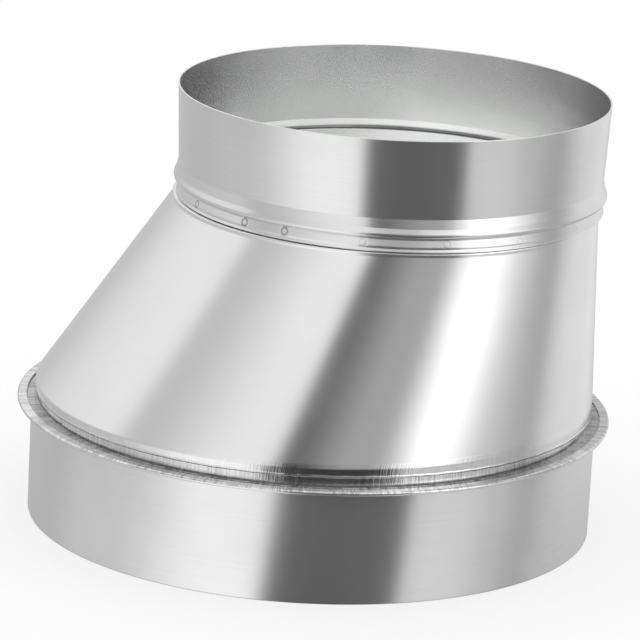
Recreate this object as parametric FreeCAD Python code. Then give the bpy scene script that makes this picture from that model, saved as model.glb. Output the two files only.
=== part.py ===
import FreeCAD, Part
import math
import os

# Offset round duct reducer in thin galvanised sheet, standing on its large end.
# Millimetres, +Z up. The origin is the centre of the large collar's free rim, and +X points to the side
# where the cone runs almost straight up. Three pieces of sheet: the large collar, the cone and the small
# collar.

Vector = FreeCAD.Vector

# Sheet and the ducts that the two collars slide into
SHEET = 0.5
LARGE_DUCT = 200.0
SMALL_DUCT = 150.0
SPIGOT_PLAY = 0.8

# Large collar: its free wall, and the standing seam that its upper edge folds into
LARGE_SPIGOT = 39.5
SEAM_REACH = 4.9
SEAM_RETURN = 3.4
SEAM_ROOT_BEND = 0.75
SEAM_END_PLAY = 0.3

# Cone: the straight band at its foot, the slope, the rolled shoulder and the neck
BAND_INSET = 1.4
BAND_HEIGHT = 5.9
BAND_ROOT_BEND = 0.75
SLOPE_HEIGHT = 69.6
SLOPE_BEND = 1.6
SHOULDER_STEP = 2.9
SHOULDER_STEP_FLUSH = 0.1
LIP_HEIGHT = 0.8
LEDGE_RISE = 0.1
LEDGE_RISE_FLUSH = 0.6
SHOULDER_BEND = 0.28
LAP_PLAY = 0.05

# Small collar: the skirt over the cone's neck, the stop bead and the free wall, whose outside stands out a
# little from the cone's band on the flush side
FLUSH_STAND = 0.45
SKIRT_INSET = 1.5
SKIRT_CLEARANCE = 0.25
SKIRT_HEIGHT = 4.1
NECK_ABOVE_SKIRT = 3.4
BEAD_HEIGHT = 7.0
BEAD_RISE = 0.95
BEAD_UNDERSIDE = 1.4
BEAD_BACK = 0.6
BEAD_FOOT_BEND = 0.35
BEAD_NOSE_BEND = 1.8
BEAD_BACK_BEND = 3.0
BEAD_CREASE_BEND = 0.35
SMALL_SPIGOT = 27.0

# Spot welds: ring-shaped electrode marks pressed into the skirt
WELD_COUNT = 17
WELD_PITCH = 21.7
WELD_FIRST = -111.5
WELD_RING = 1.25
WELD_TIP = 0.4
WELD_DEPTH = 0.12

# Two points closer than this are one point
SAME_POINT = 1e-6

# Sizes worked out from the values above
half = SHEET / 2
large_radius = (LARGE_DUCT - SPIGOT_PLAY) / 2
small_radius = (SMALL_DUCT - SPIGOT_PLAY) / 2

seam_flange_z = LARGE_SPIGOT + half
cone_flange_z = seam_flange_z + SHEET
seam_return_z = cone_flange_z + SHEET
seam_top = seam_return_z + half
seam_fold_bend = (seam_return_z - seam_flange_z) / 2
seam_edge = large_radius + SEAM_REACH - half
seam_return_end = large_radius + SEAM_REACH - SEAM_RETURN
cone_flange_end = seam_edge - seam_fold_bend - SEAM_END_PLAY

band_radius = large_radius - BAND_INSET - half
band_top = seam_top + BAND_HEIGHT
skirt_radius = small_radius - SKIRT_INSET
neck_radius = skirt_radius - SHEET - LAP_PLAY - half
offset = band_radius + half + FLUSH_STAND - small_radius

shoulder_z = band_top + SLOPE_HEIGHT
neck_z = shoulder_z + LIP_HEIGHT + LEDGE_RISE_FLUSH
skirt_z = neck_z + half + SKIRT_CLEARANCE
bead_foot = skirt_z + SKIRT_HEIGHT
neck_top = bead_foot + NECK_ABOVE_SKIRT
bead_nose = bead_foot + BEAD_UNDERSIDE
bead_crease = bead_foot + BEAD_HEIGHT
total_height = bead_crease + SMALL_SPIGOT


def unit(a, b):
    """Direction from point a to point b of a section, as a unit pair."""
    length = math.hypot(b[0] - a[0], b[1] - a[1])
    return (b[0] - a[0]) / length, (b[1] - a[1]) / length


def moved(point, direction, distance):
    """The point moved along a direction of the section."""
    return point[0] + direction[0] * distance, point[1] + direction[1] * distance


def left_of(direction):
    """The direction turned a quarter turn to the left."""
    return -direction[1], direction[0]


def side_corner(corner, before, after, side):
    """Where the two legs of a corner meet on one face of the sheet, side being +half (left) or -half."""
    n0, n1 = left_of(before), left_of(after)
    share = side / (1 + n0[0] * n1[0] + n0[1] * n1[1])
    return corner[0] + (n0[0] + n1[0]) * share, corner[1] + (n0[1] + n1[1]) * share


def section_side(corners, reaches, side):
    """One face of a folded sheet, as a start point, (start, corner, end) for each bend, and an end point.

    corners is the sheet's middle line and reaches is how far each bend runs along its two legs.
    """
    legs = [unit(a, b) for a, b in zip(corners, corners[1:])]
    bends = []
    for corner, before, after, reach in zip(corners[1:-1], legs, legs[1:], reaches):
        start = moved(moved(corner, before, -reach), left_of(before), side)
        end = moved(moved(corner, after, reach), left_of(after), side)
        bends.append((start, side_corner(corner, before, after, side), end))
    first = moved(corners[0], left_of(legs[0]), side)
    last = moved(corners[-1], left_of(legs[-1]), side)
    return first, bends, last


def turn(before, after):
    """Angle between two directions of a section."""
    cross = before[0] * after[1] - before[1] * after[0]
    dot = before[0] * after[0] + before[1] * after[1]
    return abs(math.atan2(cross, dot))


def reach_of(corners, radii):
    """How far each round bend of the middle line reaches along its legs."""
    legs = [unit(a, b) for a, b in zip(corners, corners[1:])]
    return [r * math.tan(turn(a, b) / 2) for r, a, b in zip(radii, legs, legs[1:])]


def arc_middle(start, corner, end):
    """The middle of the arc that touches both legs of a corner."""
    to_start, to_end = unit(corner, start), unit(corner, end)
    reach = math.hypot(start[0] - corner[0], start[1] - corner[1])
    spread = turn(to_start, to_end) / 2
    bisector = unit((0, 0), (to_start[0] + to_end[0], to_start[1] + to_end[1]))
    return moved(corner, bisector, reach * (1 - math.sin(spread)) / math.cos(spread))


def at(point, axis_x=0.0):
    """A section's point (radius, height) in the XZ plane of an axis."""
    return Vector(axis_x + point[0], 0, point[1])


def side_edges(first, bends, last, axis_x):
    """Lines and round bends along one face of a section."""
    edges = []
    here = first
    for start, corner, end in bends:
        if math.dist(here, start) > SAME_POINT:
            edges.append(Part.makeLine(at(here, axis_x), at(start, axis_x)))
        middle = arc_middle(start, corner, end)
        edges.append(Part.Arc(at(start, axis_x), at(middle, axis_x), at(end, axis_x)).toShape())
        here = end
    edges.append(Part.makeLine(at(here, axis_x), at(last, axis_x)))
    return edges


def rolled_collar(corners, radii, axis_x=0.0):
    """A ring of folded sheet about an upright axis, from its middle line and its bend radii."""
    reaches = reach_of(corners, radii)
    left = section_side(corners, reaches, half)
    right = section_side(corners, reaches, -half)
    edges = side_edges(*left, axis_x) + side_edges(*right, axis_x)
    for end in (0, 2):
        edges.append(Part.makeLine(at(left[end], axis_x), at(right[end], axis_x)))
    face = Part.Face(Part.Wire(Part.sortEdges(edges)[0]))
    return face.revolve(Vector(axis_x, 0, 0), Vector(0, 0, 1), 360)


def ring_face(flush_points, slant_points):
    """A closed strip whose two meridians, on the flush and the slanted side, are joined by round arcs.

    Each pair of points is opposite ends of one ring, so the ring's middle and width follow from the pair.
    """
    root = math.sqrt(0.5)
    circle = [(1, 0, 1), (1, 1, root), (0, 1, 1), (-1, 1, root), (-1, 0, 1),
              (-1, -1, root), (0, -1, 1), (1, -1, root), (1, 0, 1)]
    poles = []
    for (flush_x, flush_z), (slant_x, slant_z) in zip(flush_points, slant_points):
        middle_x, radius = (flush_x + slant_x) / 2, (flush_x - slant_x) / 2
        middle_z, tilt = (flush_z + slant_z) / 2, (flush_z - slant_z) / 2
        poles.append([Vector(middle_x + radius * x, radius * y, middle_z + tilt * x) for x, y, _ in circle])
    weights = [[w for _, _, w in circle] for _ in poles]
    degree = len(poles) - 1
    surface = Part.BSplineSurface()
    surface.buildFromPolesMultsKnots(
        poles, [degree + 1, degree + 1], [3, 2, 2, 2, 3], [0, 1], [0, 1, 2, 3, 4],
        False, False, degree, 2, weights)
    return surface.toShape()


def strip_controls(first, bends, last):
    """The straight and bent stretches of a section's face, each as its control points."""
    stretches = []
    here = first
    for start, corner, end in bends:
        stretches.append([here, start])
        stretches.append([start, corner, end])
        here = end
    stretches.append([here, last])
    return stretches


def mirrored(corners):
    """The same section on the other side of the axis."""
    return [(-x, z) for x, z in corners]


def make_large_collar():
    """Plain wall whose upper edge turns out and folds back over the cone's flange."""
    wall = large_radius - half
    corners = [(wall, 0), (wall, seam_flange_z), (seam_edge, seam_flange_z),
               (seam_edge, seam_return_z), (seam_return_end, seam_return_z)]
    return rolled_collar(corners, [SEAM_ROOT_BEND, seam_fold_bend, seam_fold_bend])


def cone_meridian(axis_x, step, ledge_rise):
    """Middle line of the cone's sheet on one side, from its flange up to the neck's raw edge."""
    return [(cone_flange_end, cone_flange_z), (band_radius, cone_flange_z), (band_radius, band_top),
            (axis_x + neck_radius + step, shoulder_z), (axis_x + neck_radius + step, neck_z - ledge_rise),
            (axis_x + neck_radius, neck_z), (axis_x + neck_radius, neck_top)]


def make_cone():
    """Flange, straight band, offset slope, rolled shoulder and turned-up neck, in one sheet."""
    reaches = [BAND_ROOT_BEND, SLOPE_BEND, SHOULDER_BEND, SHOULDER_BEND, SHOULDER_BEND]
    flush = cone_meridian(offset, SHOULDER_STEP_FLUSH, LEDGE_RISE_FLUSH)
    slant = cone_meridian(-offset, SHOULDER_STEP, LEDGE_RISE)
    left, right = [(section_side(flush, reaches, side), section_side(slant, reaches, side))
                   for side in (half, -half)]
    faces = []
    for flush_side, slant_side in (left, right):
        for a, b in zip(strip_controls(*flush_side), strip_controls(*slant_side)):
            faces.append(ring_face(a, mirrored(b)))
    for end in (0, 2):
        flush_edge = [left[0][end], right[0][end]]
        slant_edge = [left[1][end], right[1][end]]
        faces.append(ring_face(flush_edge, mirrored(slant_edge)))
    shell = Part.makeShell(faces)
    shell.sewShape()
    cone = Part.makeSolid(Part.Shell(shell.Faces))
    if cone.Volume < 0:
        cone.reverse()
    return cone


def weld_mark(angle, height):
    """Ring-shaped groove that an electrode leaves, cut from the outside of the skirt."""
    outward = Vector(math.cos(math.radians(angle)), math.sin(math.radians(angle)), 0)
    distance = skirt_radius + WELD_TIP - WELD_DEPTH
    centre = Vector(offset, 0, height) + outward * distance
    return Part.makeTorus(WELD_RING, WELD_TIP, centre, outward)


def make_small_collar():
    """Skirt over the cone's neck, stop bead and free wall, about the small duct's axis."""
    skirt, wall = skirt_radius - half, small_radius - half
    back_z = bead_crease - (bead_crease - bead_nose) * (1 - BEAD_BACK)
    corners = [(skirt, skirt_z), (skirt, bead_foot), (wall + BEAD_RISE, bead_nose),
               (wall + BEAD_RISE * BEAD_BACK, back_z), (wall, bead_crease), (wall, total_height)]
    collar = rolled_collar(
        corners, [BEAD_FOOT_BEND, BEAD_NOSE_BEND, BEAD_BACK_BEND, BEAD_CREASE_BEND], offset)
    weld_z = (skirt_z + bead_foot) / 2
    marks = [weld_mark(WELD_FIRST - WELD_PITCH * i, weld_z) for i in range(WELD_COUNT)]
    return collar.cut(marks)


pieces = {
    "large_collar": make_large_collar(),
    "cone": make_cone(),
    "small_collar": make_small_collar(),
}

os.makedirs("parts", exist_ok=True)
for name, shape in pieces.items():
    shape.exportStep("parts/" + name + ".step")
    print(name, "valid", shape.isValid(), "solids", len(shape.Solids), "volume", round(shape.Volume, 1),
          "box", [round(v, 2) for v in (shape.BoundBox.XMin, shape.BoundBox.XMax, shape.BoundBox.YMin,
                                        shape.BoundBox.YMax, shape.BoundBox.ZMin, shape.BoundBox.ZMax)])
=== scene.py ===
import logging
import math
from abc import ABC, abstractmethod
from dataclasses import dataclass, replace
from enum import Enum
from typing import Any, Optional, Sequence

import bpy
import numpy as np
from mathutils import Matrix, Vector


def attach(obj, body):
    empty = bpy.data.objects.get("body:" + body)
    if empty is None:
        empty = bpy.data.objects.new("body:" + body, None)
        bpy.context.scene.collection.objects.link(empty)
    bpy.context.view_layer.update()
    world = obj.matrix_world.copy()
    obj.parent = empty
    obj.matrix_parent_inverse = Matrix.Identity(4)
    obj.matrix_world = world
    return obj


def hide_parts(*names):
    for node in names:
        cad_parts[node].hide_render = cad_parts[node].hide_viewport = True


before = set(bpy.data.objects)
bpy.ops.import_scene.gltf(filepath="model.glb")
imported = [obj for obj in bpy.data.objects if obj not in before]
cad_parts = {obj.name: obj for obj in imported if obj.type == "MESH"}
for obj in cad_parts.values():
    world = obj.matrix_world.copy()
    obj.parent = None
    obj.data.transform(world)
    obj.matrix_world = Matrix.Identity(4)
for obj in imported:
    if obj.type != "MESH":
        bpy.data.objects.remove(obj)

# Offset round duct reducer in thin galvanised sheet, standing on its large end.
# Metres, +Z up. The origin is the centre of the large collar's free rim, and +X points to the side where
# the cone runs almost straight up. Sizes in the classes are millimetres, as on a workshop drawing.

LOG = logging.getLogger("duct_reducer")
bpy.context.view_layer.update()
BODY = "root"
MM = 0.001
TINY = 1e-9
MERGE_DISTANCE = 1e-7
SEED = 7
FULL_TURN = 360.0

Point = tuple[float, float]
Colour = tuple[float, float, float, float]
Input = Any
Node = bpy.types.Node
Socket = bpy.types.NodeSocket
Tree = bpy.types.NodeTree
Piece = bpy.types.Object
Material = bpy.types.Material

WHITE: Colour = (1.0, 1.0, 1.0, 1.0)
GALVANISED: Colour = (0.78, 0.785, 0.78, 1.0)
DULL_GALVANISED: Colour = (0.73, 0.735, 0.73, 1.0)
BRIGHT_CUT: Colour = (0.86, 0.86, 0.86, 1.0)
# Cut-edge colour painted dark: painted shade for the gap beside the folded seam's raw edge.
SHADE_PAINTED_CUT: Colour = (0.35, 0.35, 0.35, 1.0)


def in_metres(lengths: dict[str, float]) -> dict[str, float]:
    """Lengths in millimetres turned into metres."""
    return {name: length * MM for name, length in lengths.items()}


class Wiring:
    """Adds nodes to one tree and links each of them as it is added."""

    def __init__(self, tree: Tree) -> None:
        """Keeps the tree that the nodes go into."""
        self.tree = tree

    def add(self, kind: str, inputs: Optional[dict[Any, Input]] = None, **settings: Any) -> Node:
        """Adds a node.

        Args:
            kind: The node's type name.
            inputs: A value, a socket or a node for each input, by its name or number.
            settings: The node's own properties.

        Returns:
            The new node.
        """
        node = self.tree.nodes.new(kind)
        for name, value in settings.items():
            setattr(node, name, value)
        for key, value in (inputs or {}).items():
            self.plug(node.inputs[key], value)
        return node

    def plug(self, socket: Socket, value: Input) -> None:
        """Feeds one input.

        Args:
            socket: The input.
            value: A socket or a node whose first output is linked, or the input's own value.
        """
        if isinstance(value, Node):
            value = value.outputs[0]
        if isinstance(value, Socket):
            self.tree.links.new(value, socket)
        else:
            socket.default_value = value

    def group(self, tree: Tree, inputs: dict[Any, Input]) -> Node:
        """Places a shared shader group."""
        return self.add("ShaderNodeGroup", inputs, node_tree=tree)

    def math(self, operation: str, *values: Input) -> Socket:
        """A maths node on one, two or three values."""
        return self.add("ShaderNodeMath", dict(enumerate(values)), operation=operation).outputs[0]

    def plus(self, a: Input, b: Input) -> Socket:
        """The sum of two values."""
        return self.math("ADD", a, b)

    def minus(self, a: Input, b: Input) -> Socket:
        """The first value less the second."""
        return self.math("SUBTRACT", a, b)

    def times(self, a: Input, b: Input) -> Socket:
        """The product of two values."""
        return self.math("MULTIPLY", a, b)

    def over(self, a: Input, b: Input) -> Socket:
        """The first value divided by the second."""
        return self.math("DIVIDE", a, b)

    def vector(self, operation: str, *values: Input) -> Socket:
        """A vector maths node on one or two vectors."""
        return self.add("ShaderNodeVectorMath", dict(enumerate(values)), operation=operation).outputs[0]

    def scaled(self, vector: Input, factor: Input) -> Socket:
        """A vector times a number."""
        return self.add("ShaderNodeVectorMath", {0: vector, "Scale": factor}, operation="SCALE").outputs[0]

    def split(self, value: Input) -> list[Socket]:
        """The three parts of a vector."""
        return list(self.add("ShaderNodeSeparateXYZ", {0: value}).outputs)

    def join(self, x: Input, y: Input, z: Input) -> Socket:
        """A vector of three parts."""
        return self.add("ShaderNodeCombineXYZ", {0: x, 1: y, 2: z}).outputs[0]

    def ramp(self, value: Input, start: Input, end: Input, low: Input = 0.0, high: Input = 1.0,
             smooth: bool = True) -> Socket:
        """Carries a value from the span start to end over to the span low to high, held at both ends."""
        return self.add("ShaderNodeMapRange", {0: value, 1: start, 2: end, 3: low, 4: high},
                        interpolation_type="SMOOTHSTEP" if smooth else "LINEAR").outputs[0]

    def zone(self, value: Input, low: Input, high: Input, fade: Input) -> Socket:
        """A share that is 1 from low to high and fades to 0 outside them.

        Args:
            value: The value that is tested.
            low: Where the zone starts.
            high: Where the zone ends.
            fade: How far outside each end the share reaches 0.

        Returns:
            The share.
        """
        rise = self.ramp(value, self.minus(low, fade), low)
        fall = self.ramp(value, high, self.plus(high, fade), 1.0, 0.0)
        return self.times(rise, fall)

    def noise(self, place: Input, detail: float, scale: float = 1.0) -> Socket:
        """Plain noise from 0 to 1 on a vector."""
        noise = self.add("ShaderNodeTexNoise", {"Vector": place, "Scale": scale, "Detail": detail})
        return noise.outputs["Fac"]

    def blend(self, share: Input, before: Input, after: Input) -> Socket:
        """Mixes two colours, which are the Mix node's inputs 6 and 7 and its output 2."""
        return self.add("ShaderNodeMix", {0: share, 6: before, 7: after}, data_type="RGBA").outputs[2]


class Kind(Enum):
    """The kinds of socket that the groups have."""

    SHAPE = "NodeSocketGeometry"
    NUMBER = "NodeSocketFloat"
    COUNT = "NodeSocketInt"
    VECTOR = "NodeSocketVector"
    MATERIAL = "NodeSocketMaterial"


def numbers(*names: str) -> dict[str, Kind]:
    """Number sockets with the given names."""
    return {name: Kind.NUMBER for name in names}


class Group(Wiring):
    """The wiring inside a new shader group."""

    TREE_TYPE = "ShaderNodeTree"

    def __init__(self, name: str, inputs: dict[str, Kind], outputs: dict[str, Kind]) -> None:
        """Starts the group.

        Args:
            name: The group's name.
            inputs: Kind of each input by name.
            outputs: Kind of each output by name.
        """
        super().__init__(bpy.data.node_groups.new(name, self.TREE_TYPE))
        for sockets, side in ((inputs, "INPUT"), (outputs, "OUTPUT")):
            for title, kind in sockets.items():
                self.tree.interface.new_socket(name=title, in_out=side, socket_type=kind.value)
        self.given = self.add("NodeGroupInput").outputs
        self.results = self.add("NodeGroupOutput").inputs

    def done(self, **results: Input) -> Tree:
        """Feeds the group's outputs.

        Args:
            results: What each output gives, by its name.

        Returns:
            The finished tree.
        """
        for name, value in results.items():
            self.plug(self.results[name], value)
        return self.tree


class ShapeGroup(Group):
    """The wiring inside a Geometry Nodes tree that shapes a piece and gives it its material."""

    TREE_TYPE = "GeometryNodeTree"

    def __init__(self, name: str, inputs: dict[str, Kind]) -> None:
        """Starts the tree with its inputs, and one for the piece and one for the material."""
        super().__init__(name, {"Piece": Kind.SHAPE, **inputs, "Material": Kind.MATERIAL},
                         {"Piece": Kind.SHAPE})

    def store(self, shape: Input, name: str, value: Input, data_type: str = "FLOAT",
              domain: str = "POINT") -> Socket:
        """Keeps a value on the shape as a named attribute."""
        return self.add("GeometryNodeStoreNamedAttribute", {"Geometry": shape, "Name": name, "Value": value},
                        data_type=data_type, domain=domain).outputs[0]

    def stored(self, name: str, data_type: str = "FLOAT") -> Socket:
        """Reads a named attribute."""
        return self.add("GeometryNodeInputNamedAttribute", {"Name": name}, data_type=data_type).outputs[0]

    def close(self, shape: Input) -> None:
        """Ends the tree in Realize Instances and Set Material."""
        real = self.add("GeometryNodeRealizeInstances", {"Geometry": shape})
        self.done(Piece=self.add("GeometryNodeSetMaterial", {
            "Geometry": real, "Material": self.given["Material"]}))

    def run(self, piece: Piece, values: dict[str, Any]) -> None:
        """Runs the tree on a piece and keeps the result as the piece's plain mesh.

        Args:
            piece: The object whose mesh goes into the tree.
            values: The tree's inputs by name.
        """
        modifier = piece.modifiers.new(self.tree.name, "NODES")
        modifier.node_group = self.tree
        for item in self.tree.interface.items_tree:
            if item.in_out == "INPUT" and item.name in values:
                modifier[item.identifier] = values[item.name]
        graph = bpy.context.evaluated_depsgraph_get()
        made = bpy.data.meshes.new_from_object(piece.evaluated_get(graph), depsgraph=graph)
        piece.modifiers.remove(modifier)
        old, piece.data = piece.data, made
        bpy.data.meshes.remove(old)
        made.name = piece.name


@dataclass(frozen=True)
class ReducerSizes:
    """Driving sizes of the whole fitting, in millimetres."""

    sheet: float = 0.5
    large_radius: float = 99.6
    small_radius: float = 74.6
    large_spigot: float = 39.5
    seam_reach: float = 4.9
    seam_return: float = 3.4
    seam_end_play: float = 0.3
    band_inset: float = 1.4
    band_height: float = 5.9
    slope_height: float = 69.6
    shoulder_step: float = 2.9
    shoulder_step_flush: float = 0.1
    lip_height: float = 0.8
    ledge_rise: float = 0.1
    ledge_rise_flush: float = 0.6
    lap_play: float = 0.05
    flush_stand: float = 0.45
    skirt_inset: float = 1.5
    skirt_clearance: float = 0.25
    skirt_height: float = 4.1
    neck_above_skirt: float = 3.4
    bead_height: float = 7.0
    small_spigot: float = 27.0

    @property
    def half(self) -> float:
        """Half the sheet."""
        return self.sheet / 2

    @property
    def flange_z(self) -> float:
        """Middle of the large collar's flange."""
        return self.large_spigot + self.half

    @property
    def return_z(self) -> float:
        """Middle of the fold that comes back over the cone's flange."""
        return self.flange_z + 2 * self.sheet

    @property
    def fold(self) -> float:
        """Radius of the seam's fold, on the sheet's middle line."""
        return (self.return_z - self.flange_z) / 2

    @property
    def seam_edge(self) -> float:
        """How far out the seam's fold stands, on the sheet's middle line."""
        return self.large_radius + self.seam_reach - self.half

    @property
    def band_radius(self) -> float:
        """Radius of the cone's straight band, on the sheet's middle line."""
        return self.large_radius - self.band_inset - self.half

    @property
    def band_top(self) -> float:
        """Height where the band bends into the slope."""
        return self.return_z + self.half + self.band_height

    @property
    def skirt_radius(self) -> float:
        """Radius of the small collar's skirt, on its outside."""
        return self.small_radius - self.skirt_inset

    @property
    def neck_radius(self) -> float:
        """Radius of the cone's neck, on the sheet's middle line."""
        return self.skirt_radius - self.sheet - self.lap_play - self.half

    @property
    def offset(self) -> float:
        """Distance between the two ducts' axes."""
        return self.band_radius + self.half + self.flush_stand - self.small_radius

    @property
    def shoulder_z(self) -> float:
        """Height where the slope bends up into the lip."""
        return self.band_top + self.slope_height

    @property
    def neck_z(self) -> float:
        """Height where the ledge turns up into the neck."""
        return self.shoulder_z + self.lip_height + self.ledge_rise_flush

    @property
    def skirt_z(self) -> float:
        """Lower edge of the small collar's skirt."""
        return self.neck_z + self.half + self.skirt_clearance

    @property
    def bead_foot(self) -> float:
        """Height where the skirt bends out into the stop bead."""
        return self.skirt_z + self.skirt_height

    @property
    def bead_crease(self) -> float:
        """Height where the stop bead meets the free wall."""
        return self.bead_foot + self.bead_height


@dataclass(frozen=True)
class Outline:
    """Closed outline of a folded sheet's cross-section, one row of the skin for each of its points."""

    points: np.ndarray
    runs: np.ndarray
    outside: np.ndarray
    cut: np.ndarray

    def facing(self, way: float, shift: float = 0.0) -> "Outline":
        """The same outline facing +X or -X, moved along X."""
        return replace(self, points=self.points * (way, 1.0) + (shift, 0.0))


@dataclass
class SheetSection:
    """A folded sheet from its middle line, with rounded bends and barely rounded cut edges."""

    corners: Sequence[Point]
    reaches: Sequence[float]
    leg_rows: Sequence[Optional[int]]
    sheet: float
    bend_steps: int = 5
    cut_reach: float = 0.09
    cut_steps: int = 3
    support: float = 0.22
    most_support: float = 0.25

    def _face(self, side: float) -> tuple[np.ndarray, list[float]]:
        """Corners of one face of the sheet, and how far each bend reaches there.

        Args:
            side: Distance from the middle line, positive to the left of its direction.

        Returns:
            The corner points from the first end to the last, and the bends' reaches.
        """
        middle = np.array(self.corners, float)
        legs = np.diff(middle, axis=0)
        legs /= np.linalg.norm(legs, axis=1)[:, None]
        normals = np.stack([-legs[:, 1], legs[:, 0]], axis=1)
        found = [middle[0] + normals[0] * side]
        reaches = []
        for i, reach in enumerate(self.reaches):
            share = side / (1 + float(normals[i] @ normals[i + 1]))
            corner = middle[i + 1] + (normals[i] + normals[i + 1]) * share
            start = middle[i + 1] - legs[i] * reach + normals[i] * side
            found.append(corner)
            reaches.append(float(np.linalg.norm(start - corner)))
        found.append(middle[-1] + normals[-1] * side)
        return np.array(found), reaches

    def outline(self) -> Outline:
        """Runs round both faces and both cut edges of the sheet.

        Returns:
            The points in one closed run, with the length so far, and whether each lies on the outside
            face and on a cut edge.
        """
        left, left_reaches = self._face(self.sheet / 2)
        right, right_reaches = self._face(-self.sheet / 2)
        cut = self.cut_reach
        corners = np.concatenate([left, right[::-1]])
        reaches = [cut, *left_reaches, cut, cut, *right_reaches[::-1], cut]
        steps = [self.cut_steps, *[self.bend_steps] * len(left_reaches), self.cut_steps] * 2
        rows = [*self.leg_rows, None, *self.leg_rows[::-1], None]
        half, count = len(left), len(corners)
        points: list[np.ndarray] = []
        marks: list[tuple[float, float]] = []
        for i in range(count):
            after = corners[(i + 1) % count]
            before_way = self._way(corners[i - 1], corners[i])
            after_way = self._way(corners[i], after)
            start = corners[i] - before_way * reaches[i]
            end = corners[i] + after_way * reaches[i]
            is_cut = float(reaches[i] == cut)
            weight = math.sqrt((1 + float(before_way @ after_way)) / 2)
            for step in range(steps[i] + 1):
                if step == 0 and points and np.linalg.norm(points[-1] - start) < TINY:
                    continue
                points.append(self._bend_point(start, corners[i], end, weight, step / steps[i]))
                marks.append((float(i >= half), is_cut))
            length = float(np.linalg.norm(after - corners[i])) - reaches[i] - reaches[(i + 1) % count]
            for share in self._shares(length, rows[i]):
                points.append(end + after_way * length * share)
                marks.append((float(half <= i < count - 1), 0.0))
        run = np.cumsum([0.0] + [float(np.linalg.norm(b - a)) for a, b in zip(points, points[1:])])
        outside, cuts = np.array(marks).T
        return Outline(np.array(points), run, outside, cuts)

    @staticmethod
    def _way(a: np.ndarray, b: np.ndarray) -> np.ndarray:
        """Unit direction from one point to another."""
        return (b - a) / np.linalg.norm(b - a)

    @staticmethod
    def _bend_point(start: np.ndarray, corner: np.ndarray, end: np.ndarray, weight: float,
                    t: float) -> np.ndarray:
        """Point of the round bend that touches both legs of a corner."""
        a, b, c = (1 - t) ** 2, 2 * weight * t * (1 - t), t ** 2
        return (start * a + corner * b + end * c) / (a + b + c)

    def _shares(self, length: float, rows: Optional[int]) -> list[float]:
        """Places of the rows inside a straight run, with one close to each end to keep the bends crisp.

        Args:
            length: The run's length.
            rows: How many rows it has between those two, or None for no row at all.

        Returns:
            The places as shares of the length.
        """
        if rows is None:
            return []
        near = min(self.support / length, self.most_support)
        inner = [near + (1 - 2 * near) * i / (rows + 1) for i in range(1, rows + 1)]
        return [near, *inner, 1 - near]


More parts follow.
